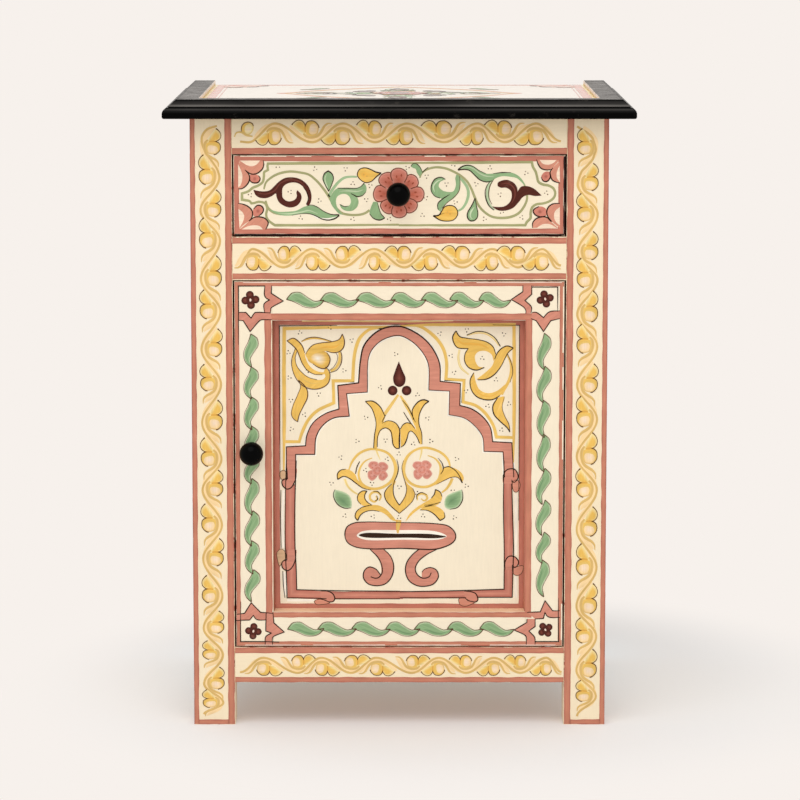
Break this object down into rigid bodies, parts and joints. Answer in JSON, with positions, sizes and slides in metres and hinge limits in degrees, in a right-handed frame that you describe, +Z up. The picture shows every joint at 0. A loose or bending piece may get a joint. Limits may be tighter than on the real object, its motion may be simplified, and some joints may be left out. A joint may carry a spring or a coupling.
{
  "type": "nightstand",
  "caption": "Painted wooden nightstand with square post legs, a drawer over a panelled door, ball knobs and a top board edged by a moulding.",
  "frame": {"origin": "middle of the bounding box on the floor", "axes": "+X to the right seen from the front, +Y to the back, +Z up"},
  "size_m": [0.45, 0.345, 0.61],
  "materials": {
    "painted_wood": "hand-painted, cream ground with painted ornament",
    "bare_wood": "plain sawn softwood",
    "plywood": "plain plywood",
    "black_paint": "satin black paint",
    "steel": "plain steel"
  },
  "bodies": {
    "carcass": {"front_left_post": "painted_wood", "front_right_post": "painted_wood", "back_left_post": "painted_wood", "back_right_post": "painted_wood", "front_top_rail": "painted_wood", "front_middle_rail": "painted_wood", "front_bottom_rail": "painted_wood", "left_side_panel": "painted_wood", "right_side_panel": "painted_wood", "top_board": "painted_wood", "back_top_rail": "bare_wood", "back_bottom_rail": "bare_wood", "cabinet_floor": "bare_wood", "left_floor_cleat": "bare_wood", "right_floor_cleat": "bare_wood", "left_drawer_runner": "bare_wood", "right_drawer_runner": "bare_wood", "left_drawer_guide": "bare_wood", "right_drawer_guide": "bare_wood", "left_top_batten": "bare_wood", "right_top_batten": "bare_wood", "drawer_stops": "bare_wood", "door_stop": "bare_wood", "back_panel": "plywood", "back_panel_nails": "steel", "top_screws": "steel", "front_moulding": "black_paint", "left_moulding": "black_paint", "right_moulding": "black_paint", "upper_pivot_pin": "steel", "lower_pivot_pin": "steel", "pivot_washer": "steel"},
    "drawer": {"drawer_front": "painted_wood", "drawer_left_side": "bare_wood", "drawer_right_side": "bare_wood", "drawer_back": "bare_wood", "drawer_bottom": "plywood", "drawer_knob": "black_paint", "drawer_knob_screw": "steel"},
    "door": {"door_hinge_stile": "painted_wood", "door_knob_stile": "painted_wood", "door_top_rail": "painted_wood", "door_bottom_rail": "painted_wood", "door_panel": "painted_wood", "door_knob": "black_paint", "door_knob_screw": "steel"}
  },
  "joints": [
    {"name": "drawer_slide", "type": "slide", "parent": "carcass", "child": "drawer", "axis": [0, -1, 0], "range_m": [0, 0.2]},
    {"name": "door_hinge", "type": "hinge", "parent": "carcass", "child": "door", "pos_m": [0.1445, -0.1415, 0.2565], "axis": [0, 0, 1], "range_deg": [0, 115]}
  ]
}
